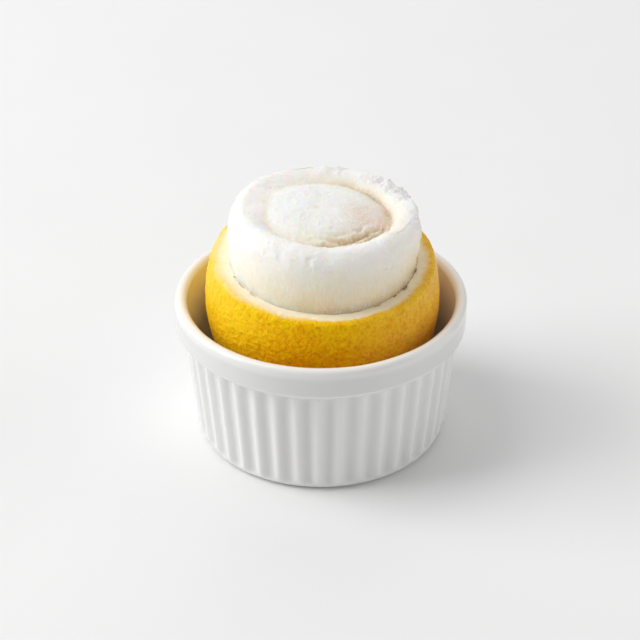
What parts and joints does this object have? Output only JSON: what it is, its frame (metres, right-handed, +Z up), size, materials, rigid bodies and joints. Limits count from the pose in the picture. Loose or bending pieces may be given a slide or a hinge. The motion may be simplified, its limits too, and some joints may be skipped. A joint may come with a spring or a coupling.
{
  "type": "sorbet",
  "caption": "Lemon sorbet swirled into a hollowed lemon that stands in a fluted white porcelain ramekin, a single cold dessert ready to serve",
  "frame": {"origin": "On the axis of the ramekin, at the plane that its foot stands on.", "axes": "+Z up along the ramekin's axis, -Y towards the front, which the lemon leans towards, +X to the right seen from the front."},
  "size_m": [0.085, 0.085, 0.0742],
  "materials": {
    "porcelain": "gloss",
    "lemon_peel": "satin",
    "sorbet_ice": "matte"
  },
  "bodies": {
    "root": {"ramekin": "porcelain", "lemon_shell": "lemon_peel", "sorbet": "sorbet_ice"}
  },
  "joints": []
}
